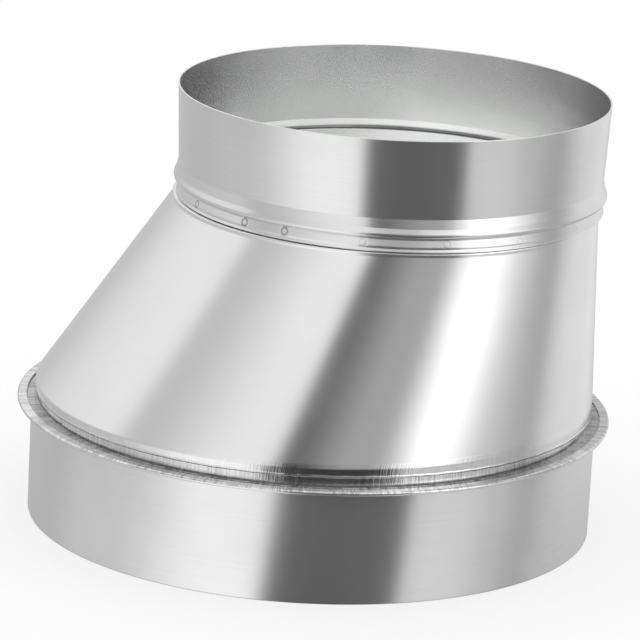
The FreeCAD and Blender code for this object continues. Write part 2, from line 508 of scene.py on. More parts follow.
class SheetTree(ShapeGroup):
    """Stretches a skin between two outlines on opposite sides of an axis."""

    ROW_VALUES = ("run", "outside", "cut")

    def __init__(self) -> None:
        """Builds the tree."""
        super().__init__("Rolled sheet", {"Rows": Kind.COUNT, "Columns": Kind.COUNT,
                                          "Girth radius": Kind.NUMBER})
        rows, columns = self.given["Rows"], self.given["Columns"]
        last_row, last_column = self.minus(rows, 1), self.minus(columns, 1)
        grid = self.add("GeometryNodeMeshGrid", {
            "Size X": last_column, "Size Y": last_row, "Vertices X": columns, "Vertices Y": rows})
        across, along, _ = self.split(self.add("GeometryNodeInputPosition"))
        column = self.math("ROUND", self.plus(across, self.over(last_column, 2)))
        row = self.math("ROUND", self.plus(along, self.over(last_row, 2)))
        flush = self._station("flush", row, "FLOAT_VECTOR")
        slant = self._station("slant", row, "FLOAT_VECTOR")
        turn = self._station("turn", self.plus(rows, column))
        middle = self.scaled(self.vector("ADD", flush, slant), 0.5)
        arm = self.scaled(self.vector("SUBTRACT", flush, slant), 0.5)
        swung = self.scaled(arm, self.math("COSINE", turn))
        sideways = self.join(0.0, self.times(self.split(arm)[0], self.math("SINE", turn)), 0.0)
        place = self.vector("ADD", self.vector("ADD", middle, swung), sideways)

        along_row = {name: self._station(name, row) for name in self.ROW_VALUES}
        shape = grid.outputs["Mesh"]
        for name, value in {**along_row, "turn": turn}.items():
            shape = self.store(shape, name, value)
        flat = self.join(self.times(turn, self.given["Girth radius"]), along_row["run"], 0.0)
        shape = self.store(shape, "UVMap", flat, "FLOAT2", "CORNER")
        shape = self.add("GeometryNodeSetPosition", {"Geometry": shape, "Position": place})
        shape = self.add("GeometryNodeMergeByDistance", {"Geometry": shape, "Distance": MERGE_DISTANCE})
        shape = self.add("GeometryNodeFlipFaces", {"Mesh": shape})
        self.close(self.add("GeometryNodeSetShadeSmooth", {"Geometry": shape}))

    def _station(self, name: str, index: Input, data_type: str = "FLOAT") -> Socket:
        """Value of a named attribute at a numbered station."""
        return self.add("GeometryNodeSampleIndex", {
            "Geometry": self.given["Piece"], "Value": self.stored(name, data_type), "Index": index},
            data_type=data_type).outputs[0]

    def stretch(self, name: str, flush: Outline, slant: Outline, turns: Sequence[float], girth: float,
                material: Material) -> Piece:
        """Makes one sheet.

        Args:
            name: The piece's name.
            flush: Outline on the +X side, in millimetres from the origin.
            slant: Outline on the other side.
            turns: Angles of the skin's columns, in degrees, the last one a full turn after the first.
            girth: Radius that the pattern's sideways lengths are true for, in millimetres.
            material: The piece's finish.

        Returns:
            The piece, with a plain mesh.
        """
        rows = len(flush.points)
        if len(slant.points) != rows:
            raise ValueError(f"{name}: the two outlines have {rows} and {len(slant.points)} points")
        closed = [*range(rows), 0]
        gap = float(np.linalg.norm(flush.points[0] - flush.points[-1]))
        known = {"run": np.append(flush.runs, flush.runs[-1] + gap) * MM,
                 "outside": flush.outside[closed], "cut": flush.cut[closed],
                 "turn": np.append(np.zeros(rows + 1), np.radians(turns))}
        for title, outline in (("flush", flush), ("slant", slant)):
            x, z = outline.points[closed].T * MM
            known[title] = np.column_stack([x, np.zeros(rows + 1), z])
        count = rows + 1 + len(turns)
        stations = bpy.data.meshes.new(name)
        stations.vertices.add(count)
        for title, values in known.items():
            kind, key = ("FLOAT_VECTOR", "vector") if values.ndim > 1 else ("FLOAT", "value")
            padded = np.zeros((count, *values.shape[1:]), np.float32)
            padded[:len(values)] = values
            stations.attributes.new(title, kind, "POINT").data.foreach_set(key, padded.ravel())
        piece = bpy.data.objects.new(name, stations)
        bpy.context.scene.collection.objects.link(piece)
        self.run(piece, {"Rows": rows + 1, "Columns": len(turns), "Girth radius": girth * MM,
                         "Material": material})
        return piece


class RollerTree(ShapeGroup):
    """Leaves a zone of the sheet slightly uneven, as forming rollers do."""

    NOISE_SHIFTS = (0.0, 40.0)

    def __init__(self) -> None:
        """Builds the tree."""
        super().__init__("Roller unevenness", numbers(
            "Inner radius", "Outer radius", "Bottom", "Top", "Fade", "Sideways", "Upright", "Pitch", "Seed"))
        given = self.given
        x, y, z = self.split(self.add("GeometryNodeInputPosition"))
        radius = self.math("SQRT", self.plus(self.times(x, x), self.times(y, y)))
        share = self.times(self.zone(radius, given["Inner radius"], given["Outer radius"], given["Fade"]),
                           self.zone(z, given["Bottom"], given["Top"], given["Fade"]))
        place = self.join(self.over(x, given["Pitch"]), self.over(y, given["Pitch"]), given["Seed"])
        waves = []
        for shift in self.NOISE_SHIFTS:
            spot = self.vector("ADD", place, (shift, 0.0, shift))
            swing = self.times(self.minus(self.noise(spot, detail=2.0), 0.5), 2.0)
            waves.append(self.times(swing, share))
        outward = self.vector("NORMALIZE", self.join(x, y, 0.0))
        out = self.scaled(outward, self.times(waves[0], given["Sideways"]))
        up = self.join(0.0, 0.0, self.times(waves[1], given["Upright"]))
        self.close(self.add("GeometryNodeSetPosition", {
            "Geometry": given["Piece"], "Offset": self.vector("ADD", out, up)}))


class WeldTree(ShapeGroup):
    """Presses a row of ring-shaped spot-weld marks into a round wall.

    The marks fade away from the first and the last of the row, over the numbers of marks given here.
    """

    FADE_FROM_FIRST = (1.0, 3.0)
    FADE_FROM_LAST = (0.0, 1.2)
    SWELL_OUTSIDE = 1.7
    CROWN_SHARE = 0.8
    OUTSIDE = 0.5

    def __init__(self) -> None:
        """Builds the tree."""
        super().__init__("Spot-weld marks", {"Count": Kind.COUNT, "Seed": Kind.COUNT, **numbers(
            "Axis X", "Wall radius", "Height", "Height play", "First", "Pitch", "Ring", "Tip", "Depth",
            "Swell", "Faintest")})
        given = self.given
        wall, ring, tip, faintest = (given[name] for name in ("Wall radius", "Ring", "Tip", "Faintest"))
        number = self.add("GeometryNodeInputIndex")
        angle = self.minus(given["First"], self.times(number, given["Pitch"]))
        # A random number's lowest and highest value are the node's inputs 2 and 3.
        play = self.add("FunctionNodeRandomValue", {
            2: self.times(given["Height play"], -1.0), 3: given["Height play"], "Seed": given["Seed"]},
            data_type="FLOAT")
        spot = self.join(self.plus(given["Axis X"], self.times(wall, self.math("COSINE", angle))),
                         self.times(wall, self.math("SINE", angle)),
                         self.plus(given["Height"], play.outputs[1]))
        spots = self.add("GeometryNodePoints", {"Count": given["Count"], "Position": spot})
        distance = self.add("GeometryNodeProximity", {0: spots}, target_element="POINTS").outputs["Distance"]
        nearest = self.add("GeometryNodeSampleNearest", {"Geometry": spots}, domain="POINT")
        to_last = self.minus(self.minus(given["Count"], 1), nearest)
        strength = self.math("MAXIMUM", self.ramp(nearest, *self.FADE_FROM_FIRST, 1.0, faintest),
                             self.ramp(to_last, *self.FADE_FROM_LAST, 1.0, faintest))
        groove = self.times(self._hump(distance, ring, tip), strength)
        swell = self._hump(distance, self.plus(ring, self.times(tip, self.SWELL_OUTSIDE)), tip)
        crown = self.times(self._hump(distance, 0.0, ring), self.CROWN_SHARE)
        lift = self.times(self.plus(swell, crown), self.times(given["Swell"], strength))
        lift = self.minus(lift, self.times(groove, given["Depth"]))
        x, y, _ = self.split(self.add("GeometryNodeInputPosition"))
        outward = self.vector("NORMALIZE", self.join(self.minus(x, given["Axis X"]), y, 0.0))
        on_face = self.add("FunctionNodeCompare", {0: self.stored("outside"), 1: self.OUTSIDE},
                           operation="GREATER_THAN", data_type="FLOAT")
        marked = self.store(given["Piece"], "weld", groove)
        self.close(self.add("GeometryNodeSetPosition", {
            "Geometry": marked, "Selection": on_face, "Offset": self.scaled(outward, lift)}))

    def _hump(self, value: Input, centre: Input, reach: Input) -> Socket:
        """A smooth hump on a value.

        Args:
            value: The value.
            centre: Where the hump is 1.
            reach: How far from there it is down to 0.

        Returns:
            The hump's height.
        """
        away = self.over(self.minus(value, centre), reach)
        left = self.math("MAXIMUM", self.minus(1.0, self.times(away, away)), 0.0)
        return self.times(left, left)


class Effects:
    """Shader groups that more than one finish uses.

    Each pair of edges says between which values of its noise a mark or a patch comes up.
    """

    SMUDGE_EDGES = (0.35, 0.7)
    SCORE_EDGES = (0.38, 0.62)
    SCORE_PATCH_EDGES = (0.36, 0.6)
    SCORE_PATCH_FAINTEST = 0.25
    SCORE_PATCH_PLACE = 3.0
    BUTT_WELD_CORE = 0.6

    def __init__(self) -> None:
        """Builds each group once."""
        self.grain = self._grain()
        self.smudges = self._smudges()
        self.scoring = self._scoring()
        self.butt_weld = self._butt_weld()
        self.lean = self._lean()

    @staticmethod
    def _grain() -> Tree:
        """Fine rolling lines that run round the piece.

        Returns:
            The group, whose lines are noise pulled out sideways.
        """
        group = Group("Rolling lines", {"Place": Kind.VECTOR, **numbers("Along", "Across")}, numbers("Lines"))
        x, y, z = group.split(group.given["Place"])
        along, across = group.given["Along"], group.given["Across"]
        spot = group.join(group.over(x, along), group.over(y, along), group.over(z, across))
        return group.done(Lines=group.noise(spot, detail=3.0))

    @staticmethod
    def _smudges() -> Tree:
        """Broad faint patches of handling and zinc.

        Returns:
            The group, whose patches go from 0 to 1.
        """
        group = Group("Faint patches", {"Place": Kind.VECTOR, **numbers("Size")}, numbers("Patches"))
        spot = group.scaled(group.given["Place"], group.over(1.0, group.given["Size"]))
        return group.done(Patches=group.ramp(group.noise(spot, detail=4.0), *Effects.SMUDGE_EDGES))

    @staticmethod
    def _scoring() -> Tree:
        """Close score marks across a worked strip, in patches.

        Returns:
            The group, whose marks and zone go from 0 to 1.
        """
        group = Group("Score marks", {"Flat place": Kind.VECTOR, **numbers(
            "Height", "Bottom", "Top", "Fade", "Pitch", "Slant", "Patch")}, numbers("Marks", "Zone"))
        given = group.given
        along, up, _ = group.split(given["Flat place"])
        zone = group.zone(given["Height"], given["Bottom"], given["Top"], given["Fade"])
        leaning = group.plus(along, group.times(up, given["Slant"]))
        mark = group.join(group.over(leaning, given["Pitch"]), group.over(up, given["Patch"]), 0.0)
        marks = group.ramp(group.noise(mark, detail=1.0), *Effects.SCORE_EDGES)
        patch = group.join(group.over(along, given["Patch"]), 0.0, Effects.SCORE_PATCH_PLACE)
        patches = group.ramp(group.noise(patch, detail=2.0), *Effects.SCORE_PATCH_EDGES,
                             Effects.SCORE_PATCH_FAINTEST, 1.0)
        return group.done(Marks=group.times(group.times(marks, patches), zone), Zone=zone)

    @staticmethod
    def _butt_weld() -> Tree:
        """The planished line where a rolled sheet's two ends are welded.

        Returns:
            The group, whose line goes from 0 to 1.
        """
        group = Group("Butt weld", numbers("Turn", "At", "Half width"), numbers("Line"))
        away = group.math("ABSOLUTE", group.minus(group.given["Turn"], group.given["At"]))
        width = group.given["Half width"]
        core = group.times(width, Effects.BUTT_WELD_CORE)
        return group.done(Line=group.ramp(away, core, width, 1.0, 0.0))

    @staticmethod
    def _lean() -> Tree:
        """Turns the sheet's normal a little with height, as rolled sheet that is not quite true does.

        Returns:
            The group, which gives the turned normal.
        """
        group = Group("Sheet lean", {"Normal": Kind.VECTOR, **numbers(
            "Height", "Bottom", "Top", "Turn at bottom", "Turn at top")}, {"Normal": Kind.VECTOR})
        given = group.given
        turn = group.ramp(given["Height"], given["Bottom"], given["Top"], given["Turn at bottom"],
                          given["Turn at top"], smooth=False)
        return group.done(Normal=group.add("ShaderNodeVectorRotate", {
            "Vector": given["Normal"], "Axis": (0.0, 0.0, 1.0), "Angle": turn}))


@dataclass(frozen=True)
class Scoring:
    """A worked strip of a sheet with close marks across it, in millimetres."""

    bottom: float
    top: float
    fade: float
    pitch: float
    patch: float
    depth: float
    tint: float
    slant: float = 0.0
    polish: float = 1.0
    climb: float = 0.0
    # painted shade: how much the whole strip is darkened, standing in for shade in a recess
    soil: float = 0.0


@dataclass(frozen=True)
class Lean:
    """How far the sheet's normal turns out of true, in degrees, from one height to another."""

    bottom: float
    top: float
    at_bottom: float
    at_top: float


@dataclass(frozen=True)
class ButtWeld:
    """A flush weld across a rolled sheet: its angle in degrees, and what it does to the finish."""

    at: float
    half_width: float = 0.012
    ripples: float = 900.0
    depth: float = 0.05
    tint: float = 0.08
    roughness: float = 0.1


@dataclass(frozen=True)
class SheetFinish:
    """Satin galvanised sheet with rolling lines, worked strips, cut edges and a butt weld."""

    name: str
    colour: Colour
    roughness: float
    anisotropy: float = 0.3
    anisotropy_turn: float = 0.25
    line_depth: float = 0.0015
    line_width: float = 0.25
    line_length: float = 45.0
    line_tint: float = 0.05
    patch_size: float = 38.0
    patch_tint: float = 0.05
    patch_roughness: float = 0.02
    haze: float = 0.1
    cut_colour: Colour = BRIGHT_CUT
    cut_roughness: float = 0.12
    scoring: tuple[Scoring, ...] = ()
    scoring_polish: float = 0.03
    butt_weld: Optional[ButtWeld] = None
    lean: Optional[Lean] = None
    weld_tint: float = 0.0

    def make(self, effects: Effects) -> Material:
        """Builds the material.

        Args:
            effects: The shared shader groups.

        Returns:
            The material, with its Principled BSDF fed by the groups.
        """
        material = bpy.data.materials.new(self.name)
        material.use_nodes = True
        material.node_tree.nodes.clear()
        wiring = Wiring(material.node_tree)

        def attribute(name: str) -> Socket:
            """Value of a named attribute of the piece."""
            return wiring.add("ShaderNodeAttribute", attribute_name=name).outputs["Fac"]

        place = wiring.add("ShaderNodeTexCoord").outputs["Object"]
        flat = wiring.add("ShaderNodeUVMap", uv_map="UVMap").outputs[0]
        across, _, height = wiring.split(place)
        lines = wiring.group(effects.grain, {"Place": place, "Along": self.line_length * MM,
                                             "Across": self.line_width * MM}).outputs[0]
        patches = wiring.group(effects.smudges, {"Place": place, "Size": self.patch_size * MM}).outputs[0]
        cut = attribute("cut")

        shade = wiring.math("MULTIPLY_ADD", lines, self.line_tint * 2, 1.0 - self.line_tint)
        shade = wiring.minus(shade, wiring.times(patches, self.patch_tint))
        relief = wiring.times(lines, self.line_depth * MM)
        rough = wiring.math("MULTIPLY_ADD", patches, self.patch_roughness, self.roughness)
        rough = wiring.plus(rough, wiring.times(cut, self.cut_roughness))
        metallic: Input = 1.0 - self.haze
        for strip in self.scoring:
            worked = wiring.group(effects.scoring, {
                "Flat place": flat, "Height": height, "Slant": strip.slant,
                "Top": wiring.math("MULTIPLY_ADD", across, strip.climb, strip.top * MM),
                **in_metres({"Bottom": strip.bottom, "Fade": strip.fade, "Pitch": strip.pitch,
                             "Patch": strip.patch})})
            marks, zone = worked.outputs["Marks"], worked.outputs["Zone"]
            relief = wiring.plus(relief, wiring.times(marks, strip.depth * MM))
            shade = wiring.plus(shade, wiring.times(marks, strip.tint))
            # Painted shade: the strip's whole zone is darkened evenly.
            shade = wiring.minus(shade, wiring.times(zone, strip.soil))
            polished = wiring.times(zone, strip.polish)
            rough = wiring.minus(rough, wiring.times(polished, self.scoring_polish))
            metallic = wiring.plus(metallic, wiring.times(polished, self.haze))
        if self.butt_weld:
            line = wiring.group(effects.butt_weld, {
                "Turn": attribute("turn"), "At": math.radians(self.butt_weld.at),
                "Half width": self.butt_weld.half_width}).outputs[0]
            ripple = wiring.times(line, wiring.noise(place, detail=1.0, scale=self.butt_weld.ripples))
            relief = wiring.plus(relief, wiring.times(ripple, self.butt_weld.depth * MM))
            shade = wiring.minus(shade, wiring.times(line, self.butt_weld.tint))
            rough = wiring.plus(rough, wiring.times(line, self.butt_weld.roughness))
        if self.weld_tint:
            shade = wiring.minus(shade, wiring.times(attribute("weld"), self.weld_tint))

        colour = wiring.blend(cut, wiring.scaled(self.colour[:3], shade), self.cut_colour)
        normal = wiring.add("ShaderNodeBump", {"Height": relief, "Strength": 1.0, "Distance": 1.0})
        if self.lean:
            normal = wiring.group(effects.lean, {
                "Normal": normal, "Height": height,
                "Bottom": self.lean.bottom * MM, "Turn at bottom": math.radians(self.lean.at_bottom),
                "Top": self.lean.top * MM, "Turn at top": math.radians(self.lean.at_top)})
        metal = wiring.add("ShaderNodeBsdfPrincipled", {
            "Base Color": colour, "Metallic": metallic, "Roughness": rough, "Normal": normal,
            "Anisotropic": self.anisotropy, "Anisotropic Rotation": self.anisotropy_turn,
            "Tangent": wiring.add("ShaderNodeTangent", direction_type="UV_MAP", uv_map="UVMap")})
        wiring.add("ShaderNodeOutputMaterial", {"Surface": metal})
        return material


@dataclass
class Sheet(ABC):
    """One sheet-metal piece of the reducer."""

    sizes: ReducerSizes
    skins: SheetTree
    tool: ShapeGroup
    node: str = ""

    @property
    def name(self) -> str:
        """Name of the piece."""
        return f"{self.node}_sheet"

    @property
    def slot(self) -> str:
        """A material slot name for the piece, which is the piece's name."""
        return self.name

    @abstractmethod
    def finish(self) -> SheetFinish:
        """The sheet's finish."""

    @abstractmethod
    def sides(self) -> tuple[Outline, Outline]:
        """The outlines on the +X side and on the other side."""

    @abstractmethod
    def girth(self) -> float:
        """Radius that the pattern's sideways lengths are true for."""

    @abstractmethod
    def turns(self) -> list[float]:
        """Angles of the skin's columns in degrees, the last one a full turn after the first."""

    @abstractmethod
    def marks(self) -> dict[str, Any]:
        """What the tool's tree gets, by the names of its inputs."""

    def dress(self, effects: Effects) -> Material:
        """The sheet's material, made with the shared shader groups."""
        return self.finish().make(effects)

    def build(self, effects: Effects) -> Piece:
        """Makes the piece, hides the record's part for its node, and hangs the piece on the body that it
        rides on.

        Args:
            effects: The shared shader groups.

        Returns:
            The piece.
        """
        material = self.dress(effects)
        piece = self.skins.stretch(self.name, *self.sides(), self.turns(), self.girth(), material)
        self.tool.run(piece, {**self.marks(), "Material": material})
        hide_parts(self.node)
        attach(piece, BODY)
        LOG.info("%s: %d faces, %d triangles", piece.name, len(piece.data.polygons),
                 sum(len(face.vertices) - 2 for face in piece.data.polygons))
        return piece


@dataclass
class RolledSheet(Sheet):
    """A sheet that the forming rollers left slightly uneven in one zone."""

    column_count: int = 360
    wave_inner: float = 90.0
    wave_fade: float = 1.0
    wave_pitch: float = 1.0
    wave_sideways: float = 0.0
    wave_upright: float = 0.0
    wave_seed: float = float(SEED)

    @abstractmethod
    def wave_zone(self) -> tuple[float, float, float]:
        """Outer radius, bottom and top of the uneven zone."""

    def turns(self) -> list[float]:
        """Even column angles over a full turn."""
        return [FULL_TURN * i / self.column_count for i in range(self.column_count + 1)]

    def marks(self) -> dict[str, Any]:
        """The uneven zone.

        Returns:
            The roller tree's values by the names of its inputs.
        """
        outer, bottom, top = self.wave_zone()
        return {**in_metres({"Inner radius": self.wave_inner, "Outer radius": outer, "Bottom": bottom,
                             "Top": top, "Fade": self.wave_fade, "Pitch": self.wave_pitch,
                             "Sideways": self.wave_sideways, "Upright": self.wave_upright}),
                "Seed": self.wave_seed}


@dataclass
class LargeCollar(RolledSheet):
    """Plain wall whose upper edge turns out and folds back over the cone's flange."""

    node: str = "large_collar"
    column_count: int = 1380
    leg_rows: tuple[Optional[int], ...] = (1, 1, None, 2)
    root_bend: float = 0.75
    wave_reach: float = 0.4
    wave_drop: float = 0.3
    wave_fade: float = 1.2
    wave_pitch: float = 1.5
    wave_sideways: float = 0.5
    wave_upright: float = 0.24

    @property
    def return_end(self) -> float:
        """Radius of the raw inner edge of the folded seam."""
        return self.sizes.large_radius + self.sizes.seam_reach - self.sizes.seam_return

    def finish(self) -> SheetFinish:
        """The collar's finish.

        Returns:
            Satin sheet with cut edges painted dark as painted shade, and score marks on the folded seam.
        """
        seam_top = self.sizes.return_z + self.sizes.half
        close = Scoring(bottom=seam_top - 0.5, top=seam_top + 1.0, fade=0.3, pitch=0.55, patch=6.0,
                        depth=0.012, tint=-0.28)
        return SheetFinish(
            "satin_sheet_large_collar", GALVANISED, roughness=0.19, butt_weld=ButtWeld(at=122.0),
            scoring=(close, replace(close, pitch=2.6, patch=16.0, tint=-0.2, polish=0.0)),
            # The dark cut colour is painted shade at the fold's raw edge.
            cut_colour=SHADE_PAINTED_CUT, lean=Lean(0.0, self.sizes.large_spigot, at_bottom=1.3, at_top=-1.3))

    def sides(self) -> tuple[Outline, Outline]:
        """Cross-sections of the collar on both sides.

        Returns:
            The outline towards +X and the same one towards -X.
        """
        s = self.sizes
        wall = s.large_radius - s.half
        corners = [(wall, 0.0), (wall, s.flange_z), (s.seam_edge, s.flange_z),
                   (s.seam_edge, s.return_z), (self.return_end, s.return_z)]
        flush = SheetSection(corners, [self.root_bend, s.fold, s.fold], self.leg_rows, s.sheet).outline()
        return flush, flush.facing(-1)

    def girth(self) -> float:
        """Radius of the spigot."""
        return self.sizes.large_radius

    def wave_zone(self) -> tuple[float, float, float]:
        """Outer radius, bottom and top of the folded seam's wavy raw edge."""
        top = self.sizes.return_z
        return self.return_end + self.wave_reach, top - self.wave_drop, top + self.sizes.sheet


@dataclass
class Cone(RolledSheet):
    """Flange, straight band, offset slope, rolled shoulder and turned-up neck in one sheet."""

    node: str = "cone"
    column_count: int = 660
    leg_rows: tuple[Optional[int], ...] = (1, 1, None, None, None, 3, 0, None, 2)
    band_root_bend: float = 0.45
    slope_bend: float = 0.45
    shoulder_bend: float = 0.28
    ridge_z: float = 44.3
    ridge_rise: float = 0.13
    ridge_half: float = 0.4
    ridge_bend: float = 0.16
    foot_spread: float = 0.25
    wave_below: float = 1.6
    wave_above: float = 0.6
    wave_fade: float = 0.9
    wave_pitch: float = 5.5
    wave_sideways: float = 0.1
    wave_upright: float = 0.35
    wave_seed: float = SEED + 5.0

    def finish(self) -> SheetFinish:
        """The cone's finish.

        Returns:
            Smooth sheet with score marks on the band, and painted shade in the groove below it and on the
            band's foot.
        """
        band = Scoring(bottom=41.5, top=47.6, fade=0.4, pitch=0.42, patch=14.0, slant=0.1, depth=0.012,
                       tint=0.05, climb=0.015)
        # The groove and foot strips darken their whole zone: painted shade for the seam's recess and the
        # band's lower lobe.
        groove = Scoring(bottom=39.0, top=40.75, fade=0.15, pitch=1.2, patch=9.0, depth=0.01, tint=-0.3,
                         polish=0.0, soil=0.42)
        foot = Scoring(bottom=40.9, top=44.3, fade=0.3, pitch=0.5, patch=10.0, depth=0.008, tint=-0.22,
                       polish=0.0, soil=0.08)
        return SheetFinish(
            "smooth_sheet_cone", GALVANISED, roughness=0.18, butt_weld=ButtWeld(at=35.0),
            line_tint=0.02, patch_tint=0.03, scoring=(band, groove, foot),
            lean=Lean(self.sizes.band_top, self.sizes.shoulder_z, at_bottom=1.7, at_top=-1.7))

    def _meridian(self, axis_x: float, step: float, ledge_rise: float) -> Outline:
        """Cross-section of the cone on one side.

        Args:
            axis_x: How far the small duct's axis lies towards this side.
            step: How far the shoulder stands out from the neck here.
            ledge_rise: How much the ledge rises from the lip to the neck here.

        Returns:
            The section's outline, with this side towards +X.
        """
        s = self.sizes
        flange_end = s.seam_edge - s.fold - s.seam_end_play
        flange = s.flange_z + s.sheet
        neck = axis_x + s.neck_radius
        corners = [(flange_end, flange), (s.band_radius + self.foot_spread, flange),
                   (s.band_radius, self.ridge_z - self.ridge_half),
                   (s.band_radius + self.ridge_rise, self.ridge_z),
                   (s.band_radius, self.ridge_z + self.ridge_half),
                   (s.band_radius, s.band_top), (neck + step, s.shoulder_z),
                   (neck + step, s.neck_z - ledge_rise),
                   (neck, s.neck_z), (neck, s.bead_foot + s.neck_above_skirt)]
        reaches = [self.band_root_bend, *[self.ridge_bend] * 3, self.slope_bend, *[self.shoulder_bend] * 3]
        return SheetSection(corners, reaches, self.leg_rows, s.sheet).outline()

    def sides(self) -> tuple[Outline, Outline]:
        """Cross-sections of the cone on both sides.

        Returns:
            The outline of the almost upright side and that of the slanted side.
        """
        s = self.sizes
        flush = self._meridian(s.offset, s.shoulder_step_flush, s.ledge_rise_flush)
        return flush, self._meridian(-s.offset, s.shoulder_step, s.ledge_rise).facing(-1)

    def girth(self) -> float:
        """Radius of the band."""
        return self.sizes.band_radius

    def wave_zone(self) -> tuple[float, float, float]:
        """Outer radius, bottom and top of the uneven ridge."""
        outer = self.sizes.band_radius + self.sizes.sheet
        return outer, self.ridge_z - self.wave_below, self.ridge_z + self.wave_above


@dataclass
class SmallCollar(Sheet):
    """Skirt over the cone's neck, stop bead and free wall, about the small duct's axis."""

    node: str = "small_collar"
    leg_rows: tuple[Optional[int], ...] = (3, None, 15, 0, 0, 0, 2)
    bead_rise: float = 0.85
    bead_underside: float = 1.4
    bead_back: float = 0.42
    foot_bend: float = 0.35
    nose_bend: float = 1.0
    back_bend: float = 3.0
    crease_bend: float = 0.35
    crease_draw: float = 0.9
    rim_spread: float = 0.25
    rim_play: float = 0.01
    hem_height: float = 0.9
    hem_flare: float = 0.4
    hem_bend: float = 0.7
    skirt_lean: float = 0.8
    skirt_lean_height: float = 2.5
    weld_count: int = 17
    weld_pitch: float = 21.7
    weld_first: float = -111.5
    weld_height: float = 2.4
    weld_height_play: float = 0.35
    weld_ring: float = 1.15
    weld_tip: float = 0.45
    weld_depth: float = 0.08
    weld_swell: float = 0.012
    weld_faintest: float = 0.14
    column_step: float = 1.0
    weld_step: float = 0.19
    weld_zone: float = 1.9

    def finish(self) -> SheetFinish:
        """Satin sheet with the weld marks a little darker."""
        return SheetFinish("satin_sheet_small_collar", DULL_GALVANISED, roughness=0.19, weld_tint=0.55)

    def sides(self) -> tuple[Outline, Outline]:
        """Cross-sections of the collar on both sides of its own axis.

        Returns:
            The outline towards +X and the same one towards -X, moved to the small duct's axis.
        """
        s = self.sizes
        skirt, wall = s.skirt_radius - s.half, s.small_radius - s.half
        nose_z = s.bead_foot + self.bead_underside
        back_z = s.bead_crease - (s.bead_crease - nose_z) * (1 - self.bead_back)
        crease = wall - self.crease_draw
        hem = skirt + self.skirt_lean
        nose = wall + self.bead_rise
        corners = [(hem + self.hem_flare, s.skirt_z), (hem, s.skirt_z + self.hem_height),
                   (hem, s.bead_foot - self.skirt_lean_height), (skirt, s.bead_foot), (nose, nose_z),
                   (crease + (nose - crease) * self.bead_back, back_z), (crease, s.bead_crease),
                   (wall + self.rim_spread, s.bead_crease + s.small_spigot - self.rim_play)]
        radii = [self.hem_bend, self.hem_bend, self.foot_bend, self.nose_bend, self.back_bend,
                 self.crease_bend]
        shape = SheetSection(corners, self._reaches(corners, radii), self.leg_rows, s.sheet).outline()
        return shape.facing(1, s.offset), shape.facing(-1, s.offset)

    @staticmethod
    def _reaches(corners: Sequence[Point], radii: Sequence[float]) -> list[float]:
        """Finds how far each round bend runs along its legs.

        Args:
            corners: The corners of the sheet's middle line, with both ends.
            radii: Radius of each bend.

        Returns:
            The distances from each corner to the ends of its bend.
        """
        ways = np.diff(np.array(corners), axis=0)
        angles = np.unwrap(np.arctan2(ways[:, 1], ways[:, 0]))
        return [r * math.tan(abs(turn) / 2) for r, turn in zip(radii, np.diff(angles))]

    def girth(self) -> float:
        """Radius of the spigot."""
        return self.sizes.small_radius

    def turns(self) -> list[float]:
        """Column angles close together at each weld mark and even between them.

        Returns:
            The angles in degrees, the last one a full turn after the first.
        """
        welds = sorted((self.weld_first - self.weld_pitch * i) % FULL_TURN for i in range(self.weld_count))
        turns = []
        for weld, after in zip(welds, [*welds[1:], welds[0] + FULL_TURN]):
            start, end, until = weld - self.weld_zone, weld + self.weld_zone, after - self.weld_zone
            for low, high, step in ((start, end, self.weld_step), (end, until, self.column_step)):
                count = max(1, round((high - low) / step))
                turns += [low + (high - low) * k / count for k in range(count)]
        return [*turns, turns[0] + FULL_TURN]

    def marks(self) -> dict[str, Any]:
        """The row of spot-weld marks.

        Returns:
            The weld tree's values by the names of its inputs.
        """
        s = self.sizes
        return {**in_metres({"Axis X": s.offset, "Wall radius": s.skirt_radius + self.skirt_lean / 2,
                             "Height": s.skirt_z + self.weld_height, "Height play": self.weld_height_play,
                             "Ring": self.weld_ring, "Tip": self.weld_tip, "Depth": self.weld_depth,
                             "Swell": self.weld_swell}),
                "Count": self.weld_count, "First": math.radians(self.weld_first),
                "Pitch": math.radians(self.weld_pitch), "Faintest": self.weld_faintest, "Seed": SEED}


@dataclass(frozen=True)
class Panel:
    """A soft panel or a dark gap of the studio, by its compass span as seen from the object, in degrees.

    Angles run from the camera's side, positive to the camera's right.
    """

    label: str
    start: float
    end: float
    soft_start: float
    soft_end: float
    level: float
    bottom: float = -95.0
    top: float = 95.0
    soft_edge: float = 8.0

    def inputs(self) -> dict[str, float]:
        """The angles and the level by the names of the panel group's inputs, such as "Soft edge"."""
        return {name.replace("_", " ").capitalize(): value
                for name, value in vars(self).items() if name != "label"}


